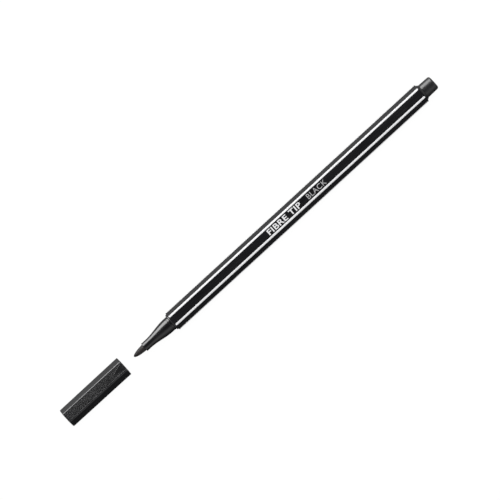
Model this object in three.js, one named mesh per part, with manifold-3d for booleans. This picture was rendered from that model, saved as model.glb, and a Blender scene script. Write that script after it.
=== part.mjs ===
// Slim hexagonal fibre-tip pen with its cap pulled off and lying in line ahead of the nib.
// Millimetres. X runs along the pen from the cap's closed end to the rear plug, and Z is up.
// The origin is under the middle of the whole assembly, on the surface that the pen lies on.
// Stations along the pen are counted from the barrel's front face and grow towards the rear plug.

import * as THREE from 'three';
import { mergeVertices } from 'three/addons/utils/BufferGeometryUtils.js';
import Module from 'manifold-3d';

const wasm = await Module();
wasm.setup();

// Barrel
const acrossFlats = 7.4;
const edgeRadius = 0.45;
const barrelLength = 131.8;
const barrelBoreRadius = 2.7;

// Turned ends of the barrel, as [radius, distance from the end face]
const frontTurning = [[3.35, 0], [3.6, 0.2], [3.66, 0.56], [4.22, 0.78]];
const rearTurning = [[3.15, 0], [3.66, 0.74], [4.22, 0.94]];

// White stripe laid into each long edge
const stripeWidth = 1;
const stripeThickness = 0.14;
const stripeFront = 0.82;
const stripeRear = 130.82;
const inlayGap = 0.02;

// Nib and nib holder
const nibTip = -19.45;
const nibRadius = 1.41;
const nibOgiveLength = 6.2;
const nibShoulder = -2;
const nibTailRadius = 1.1;
const nibTailEnd = 15;
const holderFront = -14.1;
const holderLipRadius = 1.89;
const holderFrontRadius = 1.85;
const holderBaseRadius = 3;
const holderCollarRadius = 3.025;
const holderBoreRadius = 1.46;
const holderCavityRadius = 2.1;
const shankRadius = 2.68;
const holderShankEnd = 7;

// Ink reservoir
const reservoirFront = 7.4;
const reservoirRear = 115.4;
const reservoirRadius = 2.5;
const reservoirPocketRadius = 1.15;
const reservoirPocketEnd = 15.4;
const wrapThickness = 0.1;

// Rear plug
const plugEnd = 137.3;
const plugHeadRadius = 3.055;
const plugEndRadius = 2.935;
const plugEdgeRadius = 0.9;
const plugShankFront = 124.5;
const plugHollowRadius = 1.9;
const plugHollowEnd = 135.8;

// Cap: its own stations are counted from its mouth, negative towards its closed end
const capLength = 30;
const capMouth = -24.7;
const capEdgeRadius = 0.55;
const capEndRounding = 0.4;
const capClosedEndScale = 0.976;
const capBoreRadius = 3.12;
const capBoreEnd = -7;
const capInnerRadius = 2.95;
const capSocketStart = -19;
const capSocketFlats = 5.24;
const capEndWall = 1.4;
const capVentRadius = 0.8;

// Recessed grip panel on every second facet of the cap, with a smooth triangle left at the mouth
const panelWidth = 3.2;
const panelDepth = 0.06;
const panelStart = -29.5;
const panelRim = -0.3;
const triangleBase = 3;
const triangleApex = -5.5;

// Seal sleeve inside the cap
const sealRadius = 2.6;
const sealMouth = -7.5;
const sealEnd = -23.5;
const sealMouthRadius = 2.35;
const sealBoreRadius = 2.03;
const sealBoreEnd = -22.2;

const fitGap = 0.02;
const roundSegments = 48;
const cornerCount = 6;
const middleOfPen = (capMouth - capLength + plugEnd) / 2;

// A closed geometry as a solid that can be cut and joined
function solid(geometry) {
  const bare = geometry.clone();
  bare.deleteAttribute('normal');
  bare.deleteAttribute('uv');
  const merged = mergeVertices(bare, 1e-4);
  return new wasm.Manifold(new wasm.Mesh({
    numProp: 3,
    vertProperties: new Float32Array(merged.attributes.position.array),
    triVerts: new Uint32Array(merged.index.array),
  }));
}

// A solid back as a geometry
function geometryOf(body) {
  const mesh = body.getMesh();
  const geometry = new THREE.BufferGeometry();
  geometry.setAttribute('position', new THREE.BufferAttribute(mesh.vertProperties, mesh.numProp));
  geometry.setIndex(new THREE.BufferAttribute(mesh.triVerts, 1));
  geometry.computeVertexNormals();
  return geometry;
}

// A body turned about the pen's axis, from [radius, station] points
function turned(points, segments = roundSegments, firstAngle = 0) {
  const profile = points.map(([radius, station]) => new THREE.Vector2(radius, station));
  const geometry = new THREE.LatheGeometry(profile, segments, firstAngle);
  return geometry.rotateZ(-Math.PI / 2);
}

// An outline across the pen (its x as Y, its y as Z) extruded along the pen from one station
function extrudedAlongPen(outline, start, options) {
  const geometry = new THREE.ExtrudeGeometry(outline, { curveSegments: 4, ...options });
  return geometry.rotateX(Math.PI / 2).rotateZ(Math.PI / 2).translate(start, 0, 0);
}

// Hexagon with rounded corners; two corners lie on its x axis, so two flats face up and down
function hexagon(flats, radius) {
  const outline = new THREE.Shape();
  const arcCentre = (flats / 2 - radius) / Math.cos(Math.PI / 6);
  for (let corner = 0; corner < cornerCount; corner += 1) {
    const angle = corner * Math.PI / 3;
    const x = arcCentre * Math.cos(angle);
    const y = arcCentre * Math.sin(angle);
    outline.absarc(x, y, radius, angle - Math.PI / 6, angle + Math.PI / 6);
  }
  return outline;
}

// Section of a stripe that wraps over the edge at +Y; it may stand out past the barrel's surface
function stripeSection(halfWidth, depth, proud) {
  const arcCentre = (acrossFlats / 2 - edgeRadius) / Math.cos(Math.PI / 6);
  const straight = halfWidth - edgeRadius * Math.PI / 6;
  const outer = edgeRadius + proud;
  const inner = edgeRadius - depth;
  const end = (radius, side) => new THREE.Vector2(
    arcCentre + radius * Math.cos(Math.PI / 6) - straight * Math.sin(Math.PI / 6),
    side * (radius * Math.sin(Math.PI / 6) + straight * Math.cos(Math.PI / 6)),
  );
  const section = new THREE.Shape();
  section.absarc(arcCentre, 0, outer, -Math.PI / 6, Math.PI / 6);
  section.lineTo(end(outer, 1).x, end(outer, 1).y);
  section.lineTo(end(inner, 1).x, end(inner, 1).y);
  section.absarc(arcCentre, 0, inner, Math.PI / 6, -Math.PI / 6, true);
  section.lineTo(end(inner, -1).x, end(inner, -1).y);
  section.lineTo(end(outer, -1).x, end(outer, -1).y);
  return section;
}

// Stripe over the edge at +Y with round ends; a positive margin makes the groove that holds it
function stripe(margin) {
  const halfWidth = stripeWidth / 2 + margin;
  const section = stripeSection(halfWidth, stripeThickness + margin, 10 * margin);
  const depth = stripeRear - stripeFront + 2 * margin;
  const strip = extrudedAlongPen(section, stripeFront - margin, { depth, bevelEnabled: false });
  const track = new THREE.Shape();
  track.absarc(stripeFront - margin + halfWidth, 0, halfWidth, Math.PI / 2, Math.PI * 1.5);
  track.absarc(stripeRear + margin - halfWidth, 0, halfWidth, -Math.PI / 2, Math.PI / 2);
  const upright = { depth: acrossFlats, bevelEnabled: false, curveSegments: 8 };
  const rounder = new THREE.ExtrudeGeometry(track, upright).rotateX(-Math.PI / 2);
  return geometryOf(solid(strip).intersect(solid(rounder)));
}

function barrel() {
  const prism = hexagon(acrossFlats, edgeRadius);
  const tube = solid(extrudedAlongPen(prism, 0, { depth: barrelLength, bevelEnabled: false }));
  const fromRear = ([radius, distance]) => [radius, barrelLength - distance];
  const turnedEnds = solid(turned([
    [0, 0],
    ...frontTurning,
    ...rearTurning.map(fromRear).reverse(),
    [0, barrelLength],
  ]));
  const bore = solid(turned([
    [0, -1],
    [barrelBoreRadius, -1],
    [barrelBoreRadius, barrelLength + 1],
    [0, barrelLength + 1],
  ]));
  let body = tube.intersect(turnedEnds).subtract(bore);
  const groove = stripe(inlayGap);
  for (let corner = 0; corner < cornerCount; corner += 1) {
    body = body.subtract(solid(groove.clone().rotateX(corner * Math.PI / 3)));
  }
  return geometryOf(body);
}

// Grip cone that widens in a soft S from the nib to the barrel, with a shank inside the barrel
function nibHolder() {
  const swellStart = -12;
  const swellEnd = -1.7;
  const swellSteps = 12;
  const cone = [];
  for (let step = 0; step <= swellSteps; step += 1) {
    const station = THREE.MathUtils.lerp(swellStart, swellEnd, step / swellSteps);
    const rise = THREE.MathUtils.smoothstep(station, swellStart, swellEnd);
    cone.push([THREE.MathUtils.lerp(holderFrontRadius, holderBaseRadius, rise), station]);
  }
  return turned([
    [holderBoreRadius, holderFront],
    [holderLipRadius - 0.1, holderFront],
    [holderLipRadius, holderFront + 0.15],
    [holderFrontRadius, holderFront + 1],
    ...cone,
    [holderCollarRadius, -0.7],
    [holderCollarRadius, -fitGap],
    [shankRadius, -fitGap],
    [shankRadius, holderShankEnd],
    [holderCavityRadius, holderShankEnd],
    [holderCavityRadius, -2.4],
    [holderBoreRadius, -3.4],
    [holderBoreRadius, holderFront],
  ]);
}

// Fibre rod with an elliptical tip, and a thinner pointed tail that runs back into the reservoir
function nib() {
  const tipSteps = 10;
  const points = [];
  for (let step = 0; step <= tipSteps; step += 1) {
    const turn = Math.PI / 2 * step / tipSteps;
    points.push([nibRadius * Math.sin(turn), nibTip + nibOgiveLength * (1 - Math.cos(turn))]);
  }
  points.push([nibRadius, nibShoulder]);
  points.push([nibTailRadius, nibShoulder + 0.5]);
  points.push([nibTailRadius, nibTailEnd - 2]);
  points.push([nibTailRadius / 3, nibTailEnd]);
  points.push([0, nibTailEnd]);
  return turned(points);
}

function inkReservoir() {
  return turned([
    [0, reservoirPocketEnd],
    [reservoirPocketRadius, reservoirPocketEnd],
    [reservoirPocketRadius, reservoirFront],
    [reservoirRadius, reservoirFront],
    [reservoirRadius, reservoirRear],
    [0, reservoirRear],
  ]);
}

function reservoirWrap() {
  const inner = reservoirRadius + fitGap;
  const outer = inner + wrapThickness;
  const overhang = 0.1;
  return turned([
    [inner, reservoirFront - overhang],
    [outer, reservoirFront - overhang],
    [outer, reservoirRear + overhang],
    [inner, reservoirRear + overhang],
    [inner, reservoirFront - overhang],
  ]);
}

// Hollow stopper with a short head outside the barrel
function rearPlug() {
  const edgeSteps = 6;
  const edge = [];
  for (let step = 0; step <= edgeSteps; step += 1) {
    const turn = Math.PI / 2 * step / edgeSteps;
    const radius = plugEndRadius - plugEdgeRadius * (1 - Math.cos(turn));
    edge.push([radius, plugEnd - plugEdgeRadius * (1 - Math.sin(turn))]);
  }
  return turned([
    [0, plugHollowEnd],
    [plugHollowRadius, plugHollowEnd],
    [plugHollowRadius, plugShankFront],
    [shankRadius, plugShankFront],
    [shankRadius, barrelLength + fitGap],
    [plugHeadRadius, barrelLength + fitGap],
    ...edge,
    [0, plugEnd],
  ]);
}

// Narrows a geometry evenly towards the cap's closed end
function tapered(geometry) {
  const position = geometry.attributes.position;
  for (let index = 0; index < position.count; index += 1) {
    const scale = THREE.MathUtils.lerp(1, capClosedEndScale, -position.getX(index) / capLength);
    position.setY(index, position.getY(index) * scale);
    position.setZ(index, position.getZ(index) * scale);
  }
  return geometry;
}

// Cutter for one grip panel, above the facet that faces up
function gripPanelCutter() {
  const half = panelWidth / 2;
  const outline = new THREE.Shape();
  outline.moveTo(panelStart, -half);
  outline.lineTo(panelRim, -half);
  outline.lineTo(panelRim, -triangleBase / 2);
  outline.lineTo(triangleApex, 0);
  outline.lineTo(panelRim, triangleBase / 2);
  outline.lineTo(panelRim, half);
  outline.lineTo(panelStart, half);
  const cutter = new THREE.ExtrudeGeometry(outline, { depth: 1, bevelEnabled: false });
  return tapered(cutter.translate(0, 0, acrossFlats / 2 - panelDepth));
}

function capShell() {
  const spare = 2;
  const options = {
    depth: capLength + spare - 2 * capEndRounding,
    bevelSegments: 3,
    bevelThickness: capEndRounding,
    bevelSize: capEndRounding,
    bevelOffset: -capEndRounding,
  };
  const outline = hexagon(acrossFlats, capEdgeRadius);
  const block = tapered(extrudedAlongPen(outline, capEndRounding - capLength, options));
  const beyondMouth = new THREE.BoxGeometry(2 * spare, 2 * acrossFlats, 2 * acrossFlats);
  const bore = turned([
    [0, capSocketStart],
    [capInnerRadius, capSocketStart],
    [capInnerRadius, capBoreEnd - 0.5],
    [capBoreRadius, capBoreEnd],
    [capBoreRadius, spare],
    [0, spare],
  ]);
  const socketCorner = capSocketFlats / 2 / Math.cos(Math.PI / 6);
  const socket = turned([
    [0, capEndWall - capLength],
    [socketCorner, capEndWall - capLength],
    [socketCorner, capSocketStart + 0.5],
    [0, capSocketStart + 0.5],
  ], cornerCount, Math.PI / 6);
  const vent = turned([
    [0, -capLength - 1],
    [capVentRadius, -capLength - 1],
    [capVentRadius, 2 * capEndWall - capLength],
    [0, 2 * capEndWall - capLength],
  ]);
  let body = solid(block).subtract(solid(beyondMouth.translate(spare, 0, 0)));
  body = body.subtract(solid(bore)).subtract(solid(socket)).subtract(solid(vent));
  for (let panel = 0; panel < cornerCount; panel += 2) {
    body = body.subtract(solid(gripPanelCutter().rotateX(panel * Math.PI / 3)));
  }
  return geometryOf(body);
}

function capInnerSeal() {
  return turned([
    [0, sealEnd],
    [sealRadius, sealEnd],
    [sealRadius, sealMouth],
    [sealMouthRadius, sealMouth],
    [sealBoreRadius + 0.1, sealMouth - 1.6],
    [sealBoreRadius, sealMouth - 3.5],
    [sealBoreRadius, sealBoreEnd],
    [0, sealBoreEnd],
  ]);
}

function plastic(color, roughness) {
  return new THREE.MeshStandardMaterial({ color, roughness, metalness: 0 });
}

function piece(name, geometry, material) {
  const mesh = new THREE.Mesh(geometry, material);
  mesh.name = name;
  return mesh;
}

const barrelPlastic = plastic(0x1d1d20, 0.38);
const stripeWhite = plastic(0xf2f2f0, 0.4);
const gripPlastic = plastic(0x141416, 0.15);
const capPlastic = plastic(0x2a2a2e, 0.42);
const sealPlastic = plastic(0xd9d9d4, 0.5);
const nibFelt = plastic(0x5a504e, 0.95);
const inkFibre = plastic(0x17171c, 0.95);
const clearFilm = plastic(0xcfd3d6, 0.3);

const pen = new THREE.Group();
pen.add(piece('barrel', barrel(), barrelPlastic));
const stripeGeometry = stripe(0);
for (let corner = 0; corner < cornerCount; corner += 1) {
  const inlay = piece(`edge_stripe_${corner + 1}`, stripeGeometry, stripeWhite);
  inlay.rotation.x = corner * Math.PI / 3;
  pen.add(inlay);
}
pen.add(piece('nib_holder', nibHolder(), gripPlastic));
pen.add(piece('nib', nib(), nibFelt));
pen.add(piece('ink_reservoir', inkReservoir(), inkFibre));
pen.add(piece('reservoir_wrap', reservoirWrap(), clearFilm));
pen.add(piece('rear_plug', rearPlug(), gripPlastic));

const cap = new THREE.Group();
cap.add(piece('cap_shell', capShell(), capPlastic));
cap.add(piece('cap_inner_seal', capInnerSeal(), sealPlastic));
cap.position.x = capMouth;

const assembly = new THREE.Group();
assembly.add(pen, cap);
assembly.position.set(-middleOfPen, 0, acrossFlats / 2);

export default assembly;
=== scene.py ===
import math

import bpy
import numpy as np
from mathutils import Matrix, Vector, noise


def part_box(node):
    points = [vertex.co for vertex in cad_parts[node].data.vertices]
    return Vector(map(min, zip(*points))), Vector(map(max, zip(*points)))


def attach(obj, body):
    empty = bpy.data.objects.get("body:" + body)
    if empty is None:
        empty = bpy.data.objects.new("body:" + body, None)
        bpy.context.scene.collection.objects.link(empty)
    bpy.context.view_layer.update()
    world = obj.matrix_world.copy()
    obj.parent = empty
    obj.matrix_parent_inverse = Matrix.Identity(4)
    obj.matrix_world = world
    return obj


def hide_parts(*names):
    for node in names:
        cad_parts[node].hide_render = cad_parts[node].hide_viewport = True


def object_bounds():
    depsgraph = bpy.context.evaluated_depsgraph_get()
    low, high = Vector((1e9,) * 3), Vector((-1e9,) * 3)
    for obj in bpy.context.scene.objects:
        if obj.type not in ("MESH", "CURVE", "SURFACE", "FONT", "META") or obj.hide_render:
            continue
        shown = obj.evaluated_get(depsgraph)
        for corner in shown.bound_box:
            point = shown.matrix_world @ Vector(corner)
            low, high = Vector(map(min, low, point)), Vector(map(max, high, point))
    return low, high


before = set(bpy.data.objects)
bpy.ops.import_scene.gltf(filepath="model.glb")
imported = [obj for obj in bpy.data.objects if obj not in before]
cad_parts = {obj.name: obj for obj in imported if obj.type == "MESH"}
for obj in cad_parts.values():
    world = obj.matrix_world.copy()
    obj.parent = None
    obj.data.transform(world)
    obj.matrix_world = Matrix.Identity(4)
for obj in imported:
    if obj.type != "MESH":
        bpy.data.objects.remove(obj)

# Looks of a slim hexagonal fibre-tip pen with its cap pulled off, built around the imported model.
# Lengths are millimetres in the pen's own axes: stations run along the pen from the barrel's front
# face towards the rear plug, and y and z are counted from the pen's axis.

MM = 0.001
CAD_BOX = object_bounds()


# ---------------------------------------------------------------- places taken from the frame

def extent(node, axis):
    """Size of a CAD node along one axis, in millimetres."""
    low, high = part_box(node)
    return (high[axis] - low[axis]) / MM


BARREL_LOW, BARREL_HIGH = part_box("barrel")
FRONT = BARREL_LOW.x
AXIS_HEIGHT = (BARREL_LOW.z + BARREL_HIGH.z) / 2


def station(x):
    """Station along the pen of a position in the row frame."""
    return (x - FRONT) / MM


FLATS = extent("barrel", 2)
BARREL_LENGTH = extent("barrel", 0)
NIB_TIP = station(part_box("nib")[0].x)
NIB_END = station(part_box("nib")[1].x)
NIB_RADIUS = extent("nib", 2) / 2
HOLDER_FRONT = station(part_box("nib_holder")[0].x)
HOLDER_END = station(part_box("nib_holder")[1].x)
COLLAR_RADIUS = extent("nib_holder", 2) / 2
PLUG_FRONT = station(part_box("rear_plug")[0].x)
PLUG_END = station(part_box("rear_plug")[1].x)
PLUG_RADIUS = extent("rear_plug", 2) / 2
CAP_CLOSED_END = station(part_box("cap_shell")[0].x)
CAP_MOUTH = station(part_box("cap_shell")[1].x)
CAP_LENGTH = CAP_MOUTH - CAP_CLOSED_END
SEAL_CLOSED_END = station(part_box("cap_inner_seal")[0].x)
SEAL_MOUTH = station(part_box("cap_inner_seal")[1].x)
SEAL_RADIUS = extent("cap_inner_seal", 2) / 2
STRIPE_FRONT = station(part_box("edge_stripe_1")[0].x)
STRIPE_REAR = station(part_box("edge_stripe_1")[1].x)

SIDES = 6
BORE_RADIUS = 2.7
SHANK_RADIUS = 2.68
BARREL_EDGE = 0.45
CAP_EDGE = 0.55
FILM = 0.02


# ---------------------------------------------------------------- meshes

def in_frame(points):
    """Pen millimetres to row-frame metres."""
    moved = np.asarray(points, float) * MM
    moved[..., 0] += FRONT
    moved[..., 2] += AXIS_HEIGHT
    return moved


def new_piece(name, points, faces, wear=None):
    """A smooth-shaded mesh object, turned so that its faces look outwards."""
    placed = in_frame(points)
    corners = [placed[[face[0] for face in faces]], placed[[face[1] for face in faces]],
               placed[[face[2] for face in faces]]]
    volume = np.einsum("ij,ij->", corners[0], np.cross(corners[1], corners[2]))
    quads = [face for face in faces if len(face) == 4]
    volume += np.einsum(
        "ij,ij->", placed[[q[0] for q in quads]],
        np.cross(placed[[q[2] for q in quads]], placed[[q[3] for q in quads]]),
    )
    if volume < 0:
        faces = [tuple(reversed(face)) for face in faces]
    mesh = bpy.data.meshes.new(name)
    mesh.from_pydata(placed.tolist(), [], faces)
    mesh.shade_smooth()
    if wear is not None:
        layer = mesh.attributes.new("wear", "FLOAT", "POINT")
        layer.data.foreach_set("value", np.asarray(wear, np.float32))
    piece = bpy.data.objects.new(name, mesh)
    bpy.context.scene.collection.objects.link(piece)
    weigh = piece.modifiers.new("even_shading", "WEIGHTED_NORMAL")
    weigh.keep_sharp = True
    weigh.weight = 80
    return piece


def skinned(name, rings, poles=False, wear=None):
    """A closed body through rings of points: a tube back to its first ring, or closed by two poles."""
    rings = np.asarray(rings, float)
    count, around = rings.shape[:2]
    points = rings.reshape(-1, 3)
    spans = count - 1 if poles else count
    faces = []
    for ring in range(spans):
        here = ring * around
        there = (ring + 1) % count * around
        for step in range(around):
            ahead = (step + 1) % around
            faces.append((here + step, here + ahead, there + ahead, there + step))
    weights = None if wear is None else np.asarray(wear, float).reshape(-1)
    if poles:
        first = len(points)
        points = np.vstack([points, rings[0].mean(0), rings[-1].mean(0)])
        last_ring = (count - 1) * around
        for step in range(around):
            ahead = (step + 1) % around
            faces.append((first, ahead, step))
            faces.append((first + 1, last_ring + step, last_ring + ahead))
        if weights is not None:
            weights = np.append(weights, [weights[0], weights[-1]])
    return new_piece(name, points, faces, weights)


def slab(name, top, bottom):
    """A closed sheet between two grids of points that have the same size."""
    top = np.asarray(top, float)
    rows, columns = top.shape[:2]
    size = rows * columns
    points = np.vstack([top.reshape(-1, 3), np.asarray(bottom, float).reshape(-1, 3)])
    faces = []
    for row in range(rows - 1):
        for column in range(columns - 1):
            a = row * columns + column
            b = a + columns
            faces.append((a, a + 1, b + 1, b))
            faces.append((size + a, size + b, size + b + 1, size + a + 1))
    rim = list(range(columns))
    rim += [row * columns + columns - 1 for row in range(1, rows)]
    rim += [(rows - 1) * columns + column for column in range(columns - 2, -1, -1)]
    rim += [row * columns for row in range(rows - 2, 0, -1)]
    for index, a in enumerate(rim):
        b = rim[(index + 1) % len(rim)]
        faces.append((b, a, size + a, size + b))
    return new_piece(name, points, faces)


def softened(corners, steps=4, closed=True):
    """A (radius, station) outline through (radius, station, rounding) corners, curved where rounded."""
    outline = []
    count = len(corners)
    for index, (radius, along, rounding) in enumerate(corners):
        here = np.array([radius, along], float)
        open_end = not closed and index in (0, count - 1)
        if rounding <= 0 or open_end:
            outline.append(here)
            continue
        before = np.array(corners[index - 1][:2], float) - here
        after = np.array(corners[(index + 1) % count][:2], float) - here
        reach_before, reach_after = np.linalg.norm(before), np.linalg.norm(after)
        before /= reach_before
        after /= reach_after
        opening = math.acos(max(-1.0, min(1.0, float(before @ after))))
        reach = min(rounding / math.tan(opening / 2), 0.45 * reach_before, 0.45 * reach_after)
        start, end = here + before * reach, here + after * reach
        for step in range(steps + 1):
            t = step / steps
            outline.append((1 - t) ** 2 * start + 2 * t * (1 - t) * here + t**2 * end)
    return outline


def rings_of_rows(rows):
    """Rings of points, and their wear, from rows of station, (y, z) points and wear."""
    rings = [np.column_stack([np.full(len(cross), along), cross]) for along, cross, _ in rows]
    wear = [np.broadcast_to(worn, len(cross)) for _, cross, worn in rows]
    return rings, wear


def turned_rings(outline, segments):
    """Rings about the pen's axis through the points of an outline."""
    angles = np.arange(segments) * 2 * math.pi / segments
    rings = np.empty((len(outline), segments, 3))
    for row, (radius, along) in enumerate(outline):
        rings[row, :, 0] = along
        rings[row, :, 1] = radius * np.cos(angles)
        rings[row, :, 2] = radius * np.sin(angles)
    return rings


def smoothstep(value, low, high):
    """0 at low and 1 at high with a soft rise between; low may be the greater of the two."""
    t = min(max((value - low) / (high - low), 0.0), 1.0)
    return t * t * (3 - 2 * t)


def hexagon_columns(inradius, edge_radius, flat_samples, edge_steps):
    """Columns round a hexagon with rounded edges, as (y, z), outward normal, facet, place on the facet.

    flat_samples gives each facet's places across it, from -1 to 1; a column on a rounded edge has
    no facet. Facet 1 faces up.
    """
    half_flat = (inradius - edge_radius) * math.tan(math.pi / 6)
    arc_centre = (inradius - edge_radius) / math.cos(math.pi / 6)
    columns = []
    for facet in range(SIDES):
        facing = math.radians(60 * facet + 30)
        normal = np.array([math.cos(facing), math.sin(facing)])
        across = np.array([-normal[1], normal[0]])
        for place in flat_samples(facet):
            point = inradius * normal + half_flat * place * across
            columns.append((point, normal, facet, half_flat * place))
        corner = math.radians(60 * (facet + 1))
        centre = arc_centre * np.array([math.cos(corner), math.sin(corner)])
        for step in range(1, edge_steps):
            turn = facing + math.radians(60) * step / edge_steps
            normal_here = np.array([math.cos(turn), math.sin(turn)])
            columns.append((centre + edge_radius * normal_here, normal_here, None, 0.0))
    return columns


def edge_wear(columns, inradius):
    """1 on the crown of each rounded edge, falling to 0 over the facets."""
    unworn, span = 1.07, 0.06
    reach = [np.linalg.norm(point) / inradius for point, _, _, _ in columns]
    return np.clip((np.array(reach) - unworn) / span, 0, 1)


# ---------------------------------------------------------------- materials

def link(tree, source, target):
    """Joins an output socket to an input socket."""
    tree.links.new(source, target)


def new_material(name, roughness, specular=0.5):
    """A node material with one Principled shader, and its object coordinates."""
    material = bpy.data.materials.new(name)
    material.use_nodes = True
    tree = material.node_tree
    shader = tree.nodes["Principled BSDF"]
    shader.inputs["Roughness"].default_value = roughness
    shader.inputs["Specular IOR Level"].default_value = specular
    place = tree.nodes.new("ShaderNodeTexCoord").outputs["Object"]
    return material, tree, shader, place


def grain(tree, place, feature, stretch=1.0, detail=3.0, rough=0.55, offset=0.0):
    """Noise with features of the given size in millimetres, stretched along the pen."""
    mapping = tree.nodes.new("ShaderNodeMapping")
    size = 1 / (feature * MM)
    mapping.inputs["Scale"].default_value = (size / stretch, size, size)
    mapping.inputs["Location"].default_value = (offset, offset * 0.7, offset * 1.3)
    link(tree, place, mapping.inputs["Vector"])
    texture = tree.nodes.new("ShaderNodeTexNoise")
    texture.inputs["Scale"].default_value = 1.0
    texture.inputs["Detail"].default_value = detail
    texture.inputs["Roughness"].default_value = rough
    link(tree, mapping.outputs["Vector"], texture.inputs["Vector"])
    return texture.outputs["Fac"]


def remapped(tree, value, low, high, to_low, to_high):
    """A value carried from one range over to another, and kept inside it."""
    node = tree.nodes.new("ShaderNodeMapRange")
    node.clamp = True
    node.inputs["From Min"].default_value = low
    node.inputs["From Max"].default_value = high
    node.inputs["To Min"].default_value = to_low
    node.inputs["To Max"].default_value = to_high
    link(tree, value, node.inputs["Value"])
    return node.outputs["Result"]


def combined(tree, operation, first, second):
    """Two values, or a value and a number, put together."""
    node = tree.nodes.new("ShaderNodeMath")
    node.operation = operation
    for socket, value in zip(node.inputs, (first, second)):
        if isinstance(value, (int, float)):
            socket.default_value = value
        else:
            link(tree, value, socket)
    return node.outputs["Value"]


def mixed(tree, share, first, second):
    """One colour fading into another."""
    node = tree.nodes.new("ShaderNodeMix")
    node.data_type = "RGBA"
    link(tree, share, node.inputs["Factor"])
    for socket, value in zip((node.inputs[6], node.inputs[7]), (first, second)):
        if isinstance(value, tuple):
            socket.default_value = (*value, 1.0)
        else:
            link(tree, value, socket)
    return node.outputs[2]


def bumped(tree, shader, layers):
    """Stacks bumps, each a height with its depth in millimetres."""
    below = None
    for height, depth in layers:
        node = tree.nodes.new("ShaderNodeBump")
        node.inputs["Strength"].default_value = 1.0
        node.inputs["Distance"].default_value = depth * MM
        link(tree, height, node.inputs["Height"])
        if below is not None:
            link(tree, below, node.inputs["Normal"])
        below = node.outputs["Normal"]
    link(tree, below, shader.inputs["Normal"])


def plastic(name, deep, light, worn, roughness, spread, orange_peel, scratch_depth, specular=0.5):
    """Moulded plastic: faint clouding, fine scratches along the pen, dull patches, rubbed edges."""
    material, tree, shader, place = new_material(name, roughness, specular)
    clouds = grain(tree, place, 9.0, stretch=2.5, detail=4.0)
    specks = grain(tree, place, 0.35, detail=2.0, offset=4.1)
    rubbed = grain(tree, place, 1.6, stretch=4.0, detail=5.0, rough=0.7, offset=9.3)
    scratches = grain(tree, place, 0.12, stretch=60.0, detail=2.0, offset=17.0)
    body = mixed(tree, remapped(tree, clouds, 0.3, 0.7, 0, 1), deep, light)
    edges = tree.nodes.new("ShaderNodeAttribute")
    edges.attribute_name = "wear"
    rubbing = combined(tree, "MULTIPLY", edges.outputs["Fac"],
                       remapped(tree, rubbed, 0.42, 0.72, 0.15, 1.0))
    scuffs = combined(tree, "MULTIPLY", remapped(tree, scratches, 0.55, 0.75, 0.0, 0.9),
                      remapped(tree, rubbed, 0.45, 0.6, 0.25, 1.0))
    link(tree, mixed(tree, combined(tree, "MAXIMUM", rubbing, scuffs), body, worn),
         shader.inputs["Base Color"])
    dull = remapped(tree, clouds, 0.35, 0.65, roughness - spread, roughness + spread)
    fine = remapped(tree, specks, 0.3, 0.7, -0.4 * spread, 0.4 * spread)
    marks = remapped(tree, scratches, 0.6, 0.75, 0.0, 1.6 * spread)
    total = combined(tree, "ADD", combined(tree, "ADD", dull, fine), marks)
    link(tree, combined(tree, "ADD", total, combined(tree, "MULTIPLY", rubbing, spread)),
         shader.inputs["Roughness"])
    peel = grain(tree, place, 0.55, detail=2.0, offset=2.2)
    bumped(tree, shader, [
        (peel, orange_peel),
        (specks, 0.4 * orange_peel),
        (remapped(tree, scratches, 0.58, 0.75, 1.0, 0.0), scratch_depth),
    ])
    return material


def barrel_plastic():
    """Satin black of the hexagonal tube."""
    return plastic(
        "barrel_plastic", deep=(0.0024, 0.0024, 0.0032), light=(0.0058, 0.0058, 0.007),
        worn=(0.019, 0.019, 0.021), roughness=0.23, spread=0.04, orange_peel=0.0035,
        scratch_depth=0.0012)


def cap_plastic():
    """Slightly duller black of the cap."""
    return plastic(
        "cap_plastic", deep=(0.0012, 0.0012, 0.0018), light=(0.0024, 0.0024, 0.0032),
        worn=(0.014, 0.014, 0.016), roughness=0.3, spread=0.04, orange_peel=0.0016,
        scratch_depth=0.001, specular=0.57)


def grip_plastic():
    """Glossy black of the grip cone."""
    return plastic(
        "grip_plastic", deep=(0.002, 0.002, 0.0026), light=(0.0035, 0.0035, 0.0043),
        worn=(0.01, 0.01, 0.011), roughness=0.17, spread=0.035, orange_peel=0.0012,
        scratch_depth=0.0006)


def plug_plastic():
    """Softly shining, greyer black of the rear plug."""
    return plastic(
        "plug_plastic", deep=(0.006, 0.006, 0.007), light=(0.011, 0.011, 0.012),
        worn=(0.02, 0.02, 0.021), roughness=0.32, spread=0.05, orange_peel=0.003,
        scratch_depth=0.001, specular=0.43)


def seal_plastic():
    """Milky, slightly translucent plastic of the seal inside the cap."""
    material = plastic(
        "seal_plastic", deep=(0.62, 0.62, 0.59), light=(0.72, 0.72, 0.7),
        worn=(0.8, 0.8, 0.79), roughness=0.45, spread=0.05, orange_peel=0.003,
        scratch_depth=0.001)
    shader = material.node_tree.nodes["Principled BSDF"]
    shader.inputs["Subsurface Weight"].default_value = 0.15
    shader.inputs["Subsurface Radius"].default_value = (0.6 * MM, 0.6 * MM, 0.5 * MM)
    shader.inputs["Subsurface Scale"].default_value = 1.0
    return material


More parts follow.
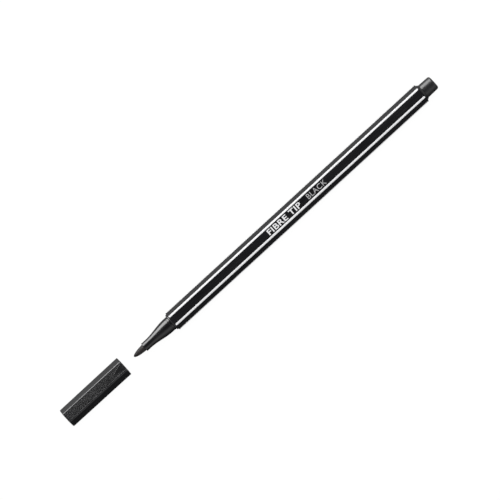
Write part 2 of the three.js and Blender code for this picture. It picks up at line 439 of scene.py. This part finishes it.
def white_print(name, shade):
    """Opaque screen-printed white, a little uneven in cover, with faint rubbed spots."""
    material, tree, shader, place = new_material(name, 0.4)
    cover = grain(tree, place, 2.4, stretch=5.0, detail=4.0)
    pinholes = grain(tree, place, 0.09, detail=1.0, offset=6.0)
    rubbed = grain(tree, place, 0.5, stretch=8.0, detail=3.0, offset=13.0)
    even = tuple(shade * tint for tint in (0.985, 0.985, 1.0))
    thin = tuple(0.93 * channel for channel in even)
    body = mixed(tree, remapped(tree, cover, 0.35, 0.7, 0, 1), even, thin)
    grey = tuple(0.72 * channel for channel in even)
    holes = combined(tree, "MAXIMUM", remapped(tree, pinholes, 0.74, 0.8, 0, 0.6),
                     remapped(tree, rubbed, 0.72, 0.84, 0, 0.5))
    link(tree, mixed(tree, holes, body, grey), shader.inputs["Base Color"])
    link(tree, remapped(tree, cover, 0.3, 0.7, 0.36, 0.47), shader.inputs["Roughness"])
    bumped(tree, shader, [(pinholes, 0.002), (cover, 0.004)])
    return material


def nib_felt():
    """Pressed fibre: dark streaks along the nib, ink-wet and darker towards the tip, no gloss."""
    material, tree, shader, place = new_material("nib_felt", 0.6, specular=0.215)
    shader.inputs["Sheen Weight"].default_value = 0.05
    shader.inputs["Sheen Roughness"].default_value = 0.5
    strands = grain(tree, place, 0.11, stretch=9.0, detail=4.0, rough=0.65)
    hairs = grain(tree, place, 0.04, stretch=14.0, detail=2.0, offset=5.0)
    patches = grain(tree, place, 1.3, stretch=1.6, detail=3.0, offset=8.0)
    body = mixed(tree, remapped(tree, strands, 0.32, 0.68, 0, 1),
                 (0.0045, 0.0035, 0.0036), (0.017, 0.0135, 0.0135))
    inked = mixed(tree, remapped(tree, patches, 0.4, 0.75, 0, 0.55), body, (0.005, 0.0044, 0.0044))
    gradient = tree.nodes.new("ShaderNodeSeparateXYZ")
    link(tree, place, gradient.inputs["Vector"])
    tip = FRONT + NIB_TIP * MM
    wet = remapped(tree, gradient.outputs["X"], tip, tip + 2.2 * MM, 0.6, 0.0)
    link(tree, mixed(tree, wet, inked, (0.005, 0.0045, 0.0045)), shader.inputs["Base Color"])
    link(tree, remapped(tree, strands, 0.3, 0.7, 0.45, 0.68), shader.inputs["Roughness"])
    bumped(tree, shader, [(strands, 0.03), (hairs, 0.012)])
    return material


def ink_fibre():
    """Ink-soaked fibre bundle of the reservoir."""
    material, tree, shader, place = new_material("ink_fibre", 0.7, specular=0.3)
    strands = grain(tree, place, 0.15, stretch=25.0, detail=4.0)
    link(tree, mixed(tree, remapped(tree, strands, 0.35, 0.65, 0, 1),
                     (0.006, 0.006, 0.01), (0.02, 0.02, 0.028)), shader.inputs["Base Color"])
    link(tree, remapped(tree, strands, 0.3, 0.7, 0.55, 0.85), shader.inputs["Roughness"])
    bumped(tree, shader, [(strands, 0.03)])
    return material


def wrap_film():
    """Thin cloudy film around the reservoir."""
    material, tree, shader, place = new_material("wrap_film", 0.25)
    creases = grain(tree, place, 2.0, stretch=6.0, detail=3.0)
    link(tree, mixed(tree, remapped(tree, creases, 0.35, 0.65, 0, 1),
                     (0.5, 0.53, 0.56), (0.64, 0.67, 0.7)), shader.inputs["Base Color"])
    link(tree, remapped(tree, creases, 0.3, 0.7, 0.18, 0.34), shader.inputs["Roughness"])
    bumped(tree, shader, [(creases, 0.03)])
    return material


def dressed(piece, material, slot, body, *nodes):
    """Gives a piece its material and places it in the frame."""
    piece.data.materials.clear()
    piece.data.materials.append(material)
    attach(piece, body)
    if nodes:
        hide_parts(*nodes)
    return piece


# ---------------------------------------------------------------- barrel and its print

# The turnings are (radius, distance from the end face, rounding) corners of each cut end.
FACET_HEIGHT = FLATS / 2 - FILM
FRONT_TURNING = [(3.35, 0.0, 0.05), (3.6, 0.2, 0.06), (3.66, 0.56, 0.02), (4.22, 0.78, 0.0)]
REAR_TURNING = [(3.15, 0.0, 0.05), (3.66, 0.74, 0.02), (4.22, 0.94, 0.0)]
MEETING_ROUND = 0.045
END_WEAR = 0.5
BARREL_LIP = 0.06
PLAIN_FROM = 1.0
SLIVER = 0.002
PLACES_ON_FACET = 11
BARREL_EDGE_STEPS = 12
BARREL_STATIONS = 44


def turned_end(points, turning):
    """Rows from an end face to the plain hexagon: distances from the face, and (y, z) points.

    The cut's slope runs into each facet and edge over a narrow round, and the rows end there.
    """
    reach = np.linalg.norm(points, axis=1)
    rays = points / reach[:, None]
    outline = softened([(BORE_RADIUS, 0.0, 0.0)] + turning, closed=False)[1:-1]
    rows = [(along, rays * radius) for radius, along in outline]
    (start_radius, start), (end_radius, end) = outline[-1], turning[-1][:2]
    slope = (end_radius - start_radius) / (end - start)
    meeting = start + (reach - start_radius) / slope
    blend = np.minimum(MEETING_ROUND, 0.4 * (meeting - start))
    for share in (0.35, 0.7):
        along = start + share * (meeting - blend - start)
        rows.append((along, rays * (start_radius + slope * (along - start))[:, None]))
    for offset in (-1.0, -0.5, 0.0, 0.5, 0.95, 1.0):
        dip = slope * blend * (1 - offset) ** 2 / 4
        rows.append((meeting + offset * blend, rays * (reach - dip)[:, None]))
    return rows


def barrel_stretch(name, rows, material):
    """A closed stretch of the barrel through rows of station, (y, z) points and wear."""
    rings, wear = rings_of_rows(rows)
    return dressed(skinned(name, rings, wear=wear), material, "barrel_plastic", "pen", "barrel")


def make_barrel(material):
    """The two turned ends and the facetted tube between them, which is returned.

    They are pieces of their own that meet flush, so that the key light can spare the facets alone.
    Slivers beside the borders keep the shading of the facets flat right up to them.
    """
    places = np.linspace(-1, 1, PLACES_ON_FACET)
    columns = hexagon_columns(FACET_HEIGHT, BARREL_EDGE, lambda facet: places, BARREL_EDGE_STEPS)
    points = np.array([point for point, _, _, _ in columns])
    rays = points / np.linalg.norm(points, axis=1)[:, None]
    crown = edge_wear(columns, FACET_HEIGHT)
    worn_end = np.maximum(crown, END_WEAR)
    bore = rays * BORE_RADIUS
    borders = []
    for name, turning, face, inward in (
        ("barrel_front_turning", FRONT_TURNING, 0.0, 1),
        ("barrel_rear_turning", REAR_TURNING, BARREL_LENGTH, -1),
    ):
        rows = [(face + inward * along, cross, worn_end)
                for along, cross in turned_end(points, turning)]
        border = rows[-1][0]
        rows.append((border, bore, 0.0))
        rows.append((face + inward * BARREL_LIP, bore, 0.0))
        rows.append((face, rays * (BORE_RADIUS + BARREL_LIP), 0.0))
        barrel_stretch(name, rows, material)
        borders.append(border)
    front, rear = borders
    rows = [(front, points, worn_end), (front + SLIVER, points, worn_end)]
    for along in np.linspace(PLAIN_FROM, BARREL_LENGTH - PLAIN_FROM, BARREL_STATIONS):
        rows.append((along, points, crown))
    rows += [(rear - SLIVER, points, worn_end), (rear, points, worn_end)]
    rows += [(rear, bore, 0.0), (front, bore, 0.0)]
    return barrel_stretch("barrel_tube", rows, material)


def edge_path(offset, distance):
    """Point (y, z) at a distance round the edge at +Y, measured over the barrel's surface."""
    half_arc = BARREL_EDGE * math.pi / 6
    arc_centre = (FACET_HEIGHT - BARREL_EDGE) / math.cos(math.pi / 6)
    turn = max(-half_arc, min(half_arc, distance)) / BARREL_EDGE
    normal = np.array([math.cos(turn), math.sin(turn)])
    along = np.array([-math.sin(turn), math.cos(turn)])
    straight = math.copysign(max(0.0, abs(distance) - half_arc), distance)
    return np.array([arc_centre, 0.0]) + normal * (BARREL_EDGE + offset) + along * straight


STRIPE_HALF = 0.49
STRIPE_WAVER = 0.015
STRIPE_ROWS = 150
STRIPE_COLUMNS = 17
BORDER_FILM = 0.35 * FILM


def make_stripe(number, material):
    """White film over one long edge, with round ends and slightly uneven borders."""
    turn = math.radians(60 * (number - 1))
    rotation = np.array([[math.cos(turn), -math.sin(turn)], [math.sin(turn), math.cos(turn)]])
    places = np.sin(np.linspace(-1, 1, STRIPE_COLUMNS) * math.pi / 2)
    shares = (1 - np.cos(np.linspace(0, 1, STRIPE_ROWS) * math.pi)) / 2
    top = np.empty((len(shares), len(places), 3))
    bottom = np.empty_like(top)
    for row, share in enumerate(shares):
        for column, place in enumerate(places):
            run_in = STRIPE_HALF - STRIPE_HALF * math.sqrt(max(0.0, 1 - place**2))
            start, end = STRIPE_FRONT + run_in, STRIPE_REAR - run_in
            along = start + share * (end - start)
            waver = STRIPE_WAVER * noise.noise(Vector((along * 0.9, place * 0.4, number * 7.3)))
            distance = place * (STRIPE_HALF + waver)
            border = row in (0, len(shares) - 1) or column in (0, len(places) - 1)
            lift = BORDER_FILM if border else FILM
            top[row, column, 0] = along
            top[row, column, 1:] = rotation @ edge_path(lift, distance)
            bottom[row, column, 0] = along
            bottom[row, column, 1:] = rotation @ edge_path(-FILM, distance)
    stripe = slab(f"white_edge_{number}", top, bottom)
    return dressed(stripe, material, "stripe_white", "pen", f"edge_stripe_{number}")


CAPITAL_HEIGHT = 0.7
PRINT_FILM = 0.7 * FILM
PRINT_LIFT = 0.001


def make_print(name, words, first, height, swell, width, material):
    """Plain generic words printed on the upper facet, reading towards the rear."""
    text = bpy.data.curves.new(name, "FONT")
    text.body = words
    text.size = height * MM / CAPITAL_HEIGHT
    text.space_character = 1.08
    text.offset = swell * MM
    text.align_y = "CENTER"
    text.resolution_u = 6
    letters = bpy.data.objects.new(name, text)
    bpy.context.scene.collection.objects.link(letters)
    shapes = bpy.data.meshes.new_from_object(letters.evaluated_get(
        bpy.context.evaluated_depsgraph_get()))
    bpy.data.objects.remove(letters)
    shapes.shade_flat()
    thick = bpy.data.objects.new(name, shapes)
    bpy.context.scene.collection.objects.link(thick)
    solid = thick.modifiers.new("ink_film", "SOLIDIFY")
    solid.thickness = PRINT_FILM * MM
    solid.offset = 1.0
    places = np.array([vertex.co[:2] for vertex in shapes.vertices])
    low = places[:, 0].min()
    middle = (places[:, 1].max() + places[:, 1].min()) / 2
    lift = AXIS_HEIGHT + (FACET_HEIGHT + PRINT_LIFT) * MM
    stretch = width * MM / (places[:, 0].max() - low)
    shapes.transform(Matrix.Translation((FRONT + first * MM, 0, lift))
                     @ Matrix.Diagonal((stretch, 1, 1, 1))
                     @ Matrix.Translation((-low, -middle, 0)))
    return dressed(thick, material, "stripe_white", "pen")


# ---------------------------------------------------------------- nib, holder and plug

def holder_radius(along):
    """Grip cone radius: a soft S from the nib end to the barrel."""
    slim, full = 1.85, 3.0
    return slim + (full - slim) * smoothstep(along, -12.0, -1.7)


def make_nib_holder(material):
    """Grip cone with a lip round the nib, a groove before its collar, and the shank behind it."""
    bore, cavity, lip, groove = 1.46, 2.1, 1.89, 2.95
    shoulder = -0.02
    corners = [
        (bore, HOLDER_FRONT, 0.05),
        (lip, HOLDER_FRONT, 0.09),
        (lip, HOLDER_FRONT + 0.28, 0.05),
        (1.845, HOLDER_FRONT + 0.55, 0.3),
    ]
    corners += [(holder_radius(along), along, 0.0) for along in np.linspace(-12.6, -1.45, 48)]
    corners += [
        (3.0, -0.98, 0.03),
        (groove, -0.93, 0.03),
        (groove, -0.8, 0.03),
        (COLLAR_RADIUS, -0.72, 0.05),
        (COLLAR_RADIUS, shoulder, 0.08),
        (SHANK_RADIUS, shoulder, 0.0),
        (SHANK_RADIUS, HOLDER_END, 0.1),
        (cavity, HOLDER_END, 0.1),
        (cavity, -2.4, 0.1),
        (bore, -3.4, 0.1),
    ]
    rings = turned_rings(softened(corners), 128)
    wear = np.zeros(rings.shape[:2])
    near_lip = np.abs(rings[:, 0, 0] - HOLDER_FRONT) < 0.3
    wear[near_lip] = 0.8
    return dressed(skinned("grip_cone", rings, wear=wear), material,
                   "grip_plastic", "pen", "nib_holder")


FIBRE_SINK = 0.018
FIBRE_RELIEF = 0.02


def fibre_depth(along, turn):
    """How deep the felt lies below its round outline, at a station and a bearing."""
    where = Vector((along * 0.55, 9 * math.cos(turn), 9 * math.sin(turn)))
    return FIBRE_SINK - FIBRE_RELIEF * (noise.noise(where) + 0.5 * noise.noise(where * 2.3))


def make_nib(material):
    """Felt rod with a rounded, slightly used tip and fibres that stand out a few hundredths."""
    ogive, around, steps, tail, tail_end = 6.2, 160, 90, 1.1, 0.4
    outline = []
    for turn in np.linspace(0, math.pi / 2, steps + 1)[1:]:
        outline.append((NIB_RADIUS * math.sin(turn), NIB_TIP + ogive * (1 - math.cos(turn))))
    outline += [(NIB_RADIUS, -12.0), (NIB_RADIUS, -2.0)]
    outline += [(tail, -1.5), (tail, NIB_END - 2.0), (tail_end, NIB_END - 0.02)]
    rings = turned_rings(outline, around)
    fibre_end = HOLDER_FRONT + 0.6
    for ring in rings:
        along = ring[0, 0]
        fade = smoothstep(along, fibre_end, fibre_end - 0.9)
        fade *= smoothstep(along, NIB_TIP - 0.1, NIB_TIP + 0.5)
        for point in ring:
            y, z = point[1:]
            depth = fade * fibre_depth(along, math.atan2(z, y))
            point[1:] *= 1 - depth / max(math.hypot(y, z), 0.2)
    return dressed(skinned("felt_nib", rings, poles=True), material, "nib_felt", "pen", "nib")


def make_rear_plug(material):
    """Stopper with a softly rounded end and the small dimple left by its moulding gate."""
    end_radius, hollow = 2.935, 1.9
    dimple = PLUG_END - 0.14
    shoulder = BARREL_LENGTH + 0.02
    wall = PLUG_END - 1.5
    corners = [
        (0.0, dimple, 0.0),
        (0.42, dimple, 0.08),
        (0.6, PLUG_END, 0.08),
        (end_radius, PLUG_END, 0.95),
        (PLUG_RADIUS, shoulder, 0.07),
        (SHANK_RADIUS, shoulder, 0.0),
        (SHANK_RADIUS, PLUG_FRONT, 0.15),
        (hollow, PLUG_FRONT, 0.15),
        (hollow, wall, 0.3),
        (0.0, wall, 0.0),
    ]
    outline = softened(corners, steps=10, closed=False)
    rings = turned_rings(outline[1:-1], 128)
    wear = np.zeros(rings.shape[:2])
    rim = (np.hypot(rings[:, 0, 1], rings[:, 0, 2]) > 2.1) & (rings[:, 0, 0] > PLUG_END - 0.9)
    wear[rim] = 0.6
    return dressed(skinned("end_plug", rings, poles=True, wear=wear), material,
                   "grip_plastic", "pen", "rear_plug")


# ---------------------------------------------------------------- cap

# Distances across a panel are counted from its middle line. Between its steep walls and its ribs
# each panel has a narrow flat floor, and towards the mouth the ribs stop at a plain triangle.
RIB_COUNT = 12
PANEL_HALF = 1.6
PANEL_DEPTH = 0.045
PANEL_WALL = 0.02
PANEL_FLOOR = 0.012
RIBS_HALF = PANEL_HALF - PANEL_WALL - PANEL_FLOOR
RIB_HEIGHT = 0.03
PANEL_START = 0.5
PANEL_RIM = 0.3
PANEL_STEP = 0.06
TRIANGLE_HALF = 1.5
TRIANGLE_APEX = 5.5
CAP_TAPER = 0.976
CAP_END_ROUNDING = 0.4
CAP_MOUTH_ROUNDING = 0.12
CAP_BORE = 3.12
CAP_BORE_LIP = 0.1
CAP_INNER = 2.95
CAP_SOCKET = 2.62
CAP_SOCKET_MOUTH = 19.0
CAP_VENT = 0.8
CAP_VENT_LIP = 0.12
CAP_END_WALL = 1.4


def ribbed(facet):
    """Every second facet carries a grip panel."""
    return facet is not None and facet % 2 == 1


def cap_facet_samples(facet):
    """Places across a facet: dense enough for the ribs where it has them."""
    plain_places, places_to_a_rib = 9, 8
    if not ribbed(facet):
        return np.linspace(-1, 1, plain_places)
    half_flat = (FLATS / 2 - CAP_EDGE) * math.tan(math.pi / 6)
    side = [PANEL_HALF - PANEL_WALL, PANEL_HALF, PANEL_HALF + PANEL_WALL, half_flat]
    ribs = np.linspace(-RIBS_HALF, RIBS_HALF, places_to_a_rib * RIB_COUNT + 1)
    places = np.concatenate([[-place for place in reversed(side)], ribs, side])
    return places / half_flat


def rib_depth(across):
    """Depth of the grip panel below its facet, rib tops included."""
    if abs(across) >= PANEL_HALF - 1e-9:
        return 0.0
    if abs(across) >= RIBS_HALF:
        return PANEL_DEPTH
    pitch = 2 * RIBS_HALF / RIB_COUNT
    wave = 0.5 - 0.5 * math.cos(2 * math.pi * (across + RIBS_HALF) / pitch)
    return PANEL_DEPTH - RIB_HEIGHT * wave


def triangle_distance(across):
    """Distance from the mouth at which the ribs stop, on a line along the panel."""
    if abs(across) >= TRIANGLE_HALF:
        return PANEL_RIM
    return TRIANGLE_APEX + (PANEL_RIM - TRIANGLE_APEX) * abs(across) / TRIANGLE_HALF


CAP_COLUMNS = hexagon_columns(FLATS / 2, CAP_EDGE, cap_facet_samples, 10)
CAP_POINTS = np.array([point for point, _, _, _ in CAP_COLUMNS])
CAP_NORMALS = np.array([normal for _, normal, _, _ in CAP_COLUMNS])
CAP_RAYS = CAP_POINTS / np.linalg.norm(CAP_POINTS, axis=1)[:, None]


def cap_outside(from_mouth, inset=0.0):
    """The tapered outside at a distance from the mouth, moved in along its normals."""
    scale = 1 + (CAP_TAPER - 1) * np.asarray(from_mouth) / CAP_LENGTH
    scaled = CAP_POINTS * np.broadcast_to(scale, len(CAP_POINTS))[:, None]
    return scaled - CAP_NORMALS * np.broadcast_to(inset, len(CAP_POINTS))[:, None]


def cap_end_rows():
    """From the vent over its lip and the flat closed end to the end's rounded rim."""
    lip_rim = CAP_RAYS * (CAP_VENT + CAP_VENT_LIP)
    flat_rim = cap_outside(CAP_LENGTH, CAP_END_ROUNDING)
    rows = [
        (CAP_LENGTH - CAP_VENT_LIP, CAP_RAYS * CAP_VENT, 0.0),
        (CAP_LENGTH - 0.3 * CAP_VENT_LIP, CAP_RAYS * (CAP_VENT + 0.3 * CAP_VENT_LIP), 0.0),
        (CAP_LENGTH, lip_rim, 0.0),
        (CAP_LENGTH, (flat_rim + lip_rim) / 2, 0.0),
    ]
    for turn in np.linspace(0, math.pi / 2, 9):
        inset = CAP_END_ROUNDING * (1 - math.sin(turn))
        along = CAP_LENGTH - CAP_END_ROUNDING * (1 - math.cos(turn))
        rows.append((along, cap_outside(along, inset), 0.7))
    return rows


def cap_panel_rows(stops, crown):
    """Along the facets: down into the grip panels, and up again where their ribs stop."""
    depths = np.array([rib_depth(a) if ribbed(f) else 0.0 for _, _, f, a in CAP_COLUMNS])
    start = CAP_LENGTH - PANEL_START
    straight_end = TRIANGLE_APEX + 0.5
    slope = [(0.0, 0.0), (0.3, 0.15), (0.7, 0.85), (1.0, 1.0)]
    rows = [(start - PANEL_STEP * share, sunk) for share, sunk in slope[:-1]]
    rows += [(along, 1.0) for along in np.linspace(start - PANEL_STEP, straight_end, 16)]
    for share in (0.25, 0.5, 0.75, 0.95):
        rows.append((straight_end + share * (stops + PANEL_STEP - straight_end), 1.0))
    rows += [(stops + PANEL_STEP * share, sunk) for share, sunk in reversed(slope)]
    return [(along, cap_outside(along, depths * sunk), crown) for along, sunk in rows]


def cap_mouth_rows(stops, crown):
    """The plain band with its triangles, and the rounded rim of the mouth."""
    rows = []
    for share in (0.85, 0.4):
        along = CAP_MOUTH_ROUNDING + share * (stops - CAP_MOUTH_ROUNDING)
        rows.append((along, cap_outside(along), crown))
    for turn in np.linspace(0, math.pi / 2, 5):
        along = CAP_MOUTH_ROUNDING * (1 - math.sin(turn))
        inset = CAP_MOUTH_ROUNDING * (1 - math.cos(turn))
        rows.append((along, cap_outside(along, inset), 0.8))
    return rows


def cap_bore_rows():
    """Into the cap: the bore, its narrower part and the six-sided socket up to the vent."""
    bearing = np.degrees(np.arctan2(CAP_RAYS[:, 1], CAP_RAYS[:, 0]))
    from_flat = np.radians(bearing % 60 - 30)
    socket = CAP_RAYS * (CAP_SOCKET / np.cos(from_flat))[:, None]
    outline = [(0.0, CAP_BORE + CAP_BORE_LIP), (0.3 * CAP_BORE_LIP, CAP_BORE + 0.3 * CAP_BORE_LIP)]
    outline += [(along, CAP_BORE) for along in (CAP_BORE_LIP, 2.5, 5.0, 7.0)]
    outline += [(along, CAP_INNER) for along in (7.5, 12.0, CAP_SOCKET_MOUTH)]
    rows = [(along, CAP_RAYS * radius, 0.0) for along, radius in outline]
    socket_end = CAP_LENGTH - CAP_END_WALL
    rows += [(CAP_SOCKET_MOUTH, socket, 0.0), (socket_end, socket, 0.0)]
    rows.append((socket_end, CAP_RAYS * CAP_VENT, 0.0))
    return rows


def make_cap_shell(material):
    """The six-sided cap: out through the vent, over the outside, and in again at the mouth."""
    crown = edge_wear(CAP_COLUMNS, FLATS / 2)
    stops = np.array([
        triangle_distance(across) if ribbed(facet) else PANEL_RIM
        for _, _, facet, across in CAP_COLUMNS])
    rows = cap_end_rows() + cap_panel_rows(stops, crown)
    rows += cap_mouth_rows(stops, crown) + cap_bore_rows()
    rings, wear = rings_of_rows([(CAP_MOUTH - along, cross, worn) for along, cross, worn in rows])
    return dressed(skinned("cap_shell_ribbed", rings, wear=wear), material,
                   "cap_plastic", "cap", "cap_shell")


def make_cap_seal(material):
    """Cup inside the cap whose flared mouth closes over the grip cone."""
    bore = 2.03
    bottom = SEAL_CLOSED_END + 1.3
    corners = [
        (0.0, SEAL_CLOSED_END, 0.0),
        (SEAL_RADIUS, SEAL_CLOSED_END, 0.2),
        (SEAL_RADIUS, SEAL_MOUTH, 0.08),
        (2.35, SEAL_MOUTH, 0.12),
        (2.13, SEAL_MOUTH - 1.6, 0.3),
        (bore, SEAL_MOUTH - 3.5, 0.5),
        (bore, bottom, 0.6),
        (0.0, bottom, 0.0),
    ]
    outline = softened(corners, steps=5, closed=False)
    rings = turned_rings(outline[1:-1], 96)
    return dressed(skinned("inner_seal", rings, poles=True), material,
                   "seal_plastic", "cap", "cap_inner_seal")


# ---------------------------------------------------------------- studio

FLOOR_DROP = 0.02
SENSOR_WIDTH = 36.0
CAMERA_DISTANCE = 1927.5
VIEW_WIDTH = 192.75
VIEW_TILT = math.radians(2.7)
VIEW_ROLL = math.radians(42.52)
VIEW_SHIFT = 0.125


def make_floor():
    """Plain pale light table, left out of mirror reflections so that black plastic stays black."""
    half = 3.0
    mesh = bpy.data.meshes.new("studio_floor")
    corners = [(-half, -half, 0), (half, -half, 0), (half, half, 0), (-half, half, 0)]
    mesh.from_pydata(corners, [], [(0, 1, 2, 3)])
    floor = bpy.data.objects.new("studio_floor", mesh)
    floor.location.z = -FLOOR_DROP * MM
    bpy.context.scene.collection.objects.link(floor)
    material, tree, shader, place = new_material("studio_floor", 0.9, specular=0.0)
    shader.inputs["Emission Color"].default_value = (1, 1, 1, 1)
    shader.inputs["Emission Strength"].default_value = 0.95
    paper = grain(tree, place, 40.0, detail=2.0)
    link(tree, mixed(tree, paper, (0.055, 0.055, 0.055), (0.065, 0.065, 0.065)),
         shader.inputs["Base Color"])
    mesh.materials.append(material)
    floor.visible_glossy = False


def softbox(name, toward, distance, width, height, watts):
    """A rectangular lamp that faces the pen, long side along it."""
    lamp = bpy.data.lights.new(name, "AREA")
    lamp.shape = "RECTANGLE"
    lamp.size = width
    lamp.size_y = height
    lamp.energy = watts
    holder = bpy.data.objects.new(name, lamp)
    bpy.context.scene.collection.objects.link(holder)
    away = Vector(toward).normalized()
    along = Vector((1, 0, 0))
    upward = away.cross(along).normalized()
    holder.matrix_world = Matrix.Translation(away * distance) @ Matrix(
        (along, upward, away)).transposed().to_4x4()
    holder.visible_camera = False
    return holder


def from_zenith(degrees):
    """Direction tilted from straight up towards +Y."""
    return (0.0, math.sin(math.radians(degrees)), math.cos(math.radians(degrees)))


def make_lights(unlit_by_key):
    """A key softbox that draws the long highlights, kept off the barrel's facets, and a soft fill."""
    key = softbox("key_softbox", from_zenith(65.5), distance=0.6, width=0.9, height=0.49, watts=13.5)
    key.visible_diffuse = False
    spared = bpy.data.collections.new("spared_by_key")
    spared.objects.link(unlit_by_key)
    spared.collection_objects[0].light_linking.link_state = "EXCLUDE"
    key.light_linking.receiver_collection = spared
    fill = softbox("overhead_fill", from_zenith(20), distance=0.9, width=1.5, height=1.3, watts=11)
    fill.visible_glossy = False


def ramp(tree, value, stops):
    """Grey levels along a value that runs from -1 to 1."""
    node = tree.nodes.new("ShaderNodeValToRGB")
    elements = node.color_ramp.elements
    elements.remove(elements[-1])
    for index, (position, level) in enumerate(stops):
        place = (position + 1) / 2
        element = elements[0] if index == 0 else elements.new(place)
        element.position = place
        element.color = (level, level, level, 1)
    link(tree, remapped(tree, value, -1, 1, 0, 1), node.inputs["Fac"])
    return node.outputs["Color"]


def make_surroundings():
    """Bright room on the +Y side, dim on the other and overhead, and a plain pale backdrop."""
    world = bpy.data.worlds.new("studio")
    bpy.context.scene.world = world
    world.use_nodes = True
    tree = world.node_tree
    background = tree.nodes["Background"]
    split = tree.nodes.new("ShaderNodeSeparateXYZ")
    link(tree, tree.nodes.new("ShaderNodeTexCoord").outputs["Generated"], split.inputs["Vector"])
    near = ramp(tree, split.outputs["Z"], [
        (-1, 0.5), (0.2, 0.55), (0.75, 0.5), (0.9, 0.35), (0.98, 0.15), (1, 0.1)])
    far = ramp(tree, split.outputs["Z"], [
        (-1, 0.05), (-0.44, 0.06), (-0.26, 0.1), (0.1, 0.45), (0.4, 0.95), (0.66, 0.95),
        (0.83, 0.45), (0.945, 0.13), (1, 0.1)])
    share = ramp(tree, split.outputs["Y"], [(-1, 0), (-0.15, 0), (0.6, 1), (1, 1)])
    room = mixed(tree, share, far, near)
    pale = (0.98, 0.98, 0.98)
    seen = tree.nodes.new("ShaderNodeLightPath").outputs["Is Camera Ray"]
    link(tree, mixed(tree, seen, room, pale), background.inputs["Color"])


def make_camera():
    """Nearly overhead, with the pen running up to the right."""
    camera = bpy.data.cameras.new("camera")
    camera.sensor_width = SENSOR_WIDTH
    camera.lens = SENSOR_WIDTH * CAMERA_DISTANCE / VIEW_WIDTH
    camera.clip_start = 0.01
    camera.clip_end = 20
    holder = bpy.data.objects.new("camera", camera)
    bpy.context.scene.collection.objects.link(holder)
    low, high = CAD_BOX
    away = Vector((0, -math.sin(VIEW_TILT), math.cos(VIEW_TILT)))
    across = Vector((0, math.cos(VIEW_TILT), math.sin(VIEW_TILT)))
    along = Vector((1, 0, 0))
    right = math.cos(VIEW_ROLL) * along - math.sin(VIEW_ROLL) * across
    upward = math.sin(VIEW_ROLL) * along + math.cos(VIEW_ROLL) * across
    target = (low + high) / 2 + across * VIEW_SHIFT * MM
    holder.matrix_world = Matrix.Translation(target + away * CAMERA_DISTANCE * MM) @ Matrix(
        (right, upward, away)).transposed().to_4x4()
    bpy.context.scene.camera = holder


make_camera()
make_floor()
make_surroundings()
bpy.context.scene.view_settings.view_transform = "Standard"

barrel_black = barrel_plastic()
grip_black = grip_plastic()
stripe_white = white_print("stripe_white", 0.715)
lettering_white = white_print("lettering_white", 0.66)
lettering_grey = white_print("lettering_grey", 0.34)

facetted_tube = make_barrel(barrel_black)
make_lights(unlit_by_key=facetted_tube)
for stripe_number in range(1, SIDES + 1):
    make_stripe(stripe_number, stripe_white)
make_print("printed_words", "FIBRE TIP", first=50.8, height=2.2, swell=0.06, width=16.8,
           material=lettering_white)
make_print("printed_colour", "BLACK", first=71.2, height=2.1, swell=0.0, width=9.4,
           material=lettering_grey)
make_nib_holder(grip_black)
make_nib(nib_felt())
make_rear_plug(plug_plastic())
make_cap_shell(cap_plastic())
make_cap_seal(seal_plastic())

for node, material in (("ink_reservoir", ink_fibre()), ("reservoir_wrap", wrap_film())):
    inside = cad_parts[node]
    inside.data.materials.clear()
    inside.data.materials.append(material)
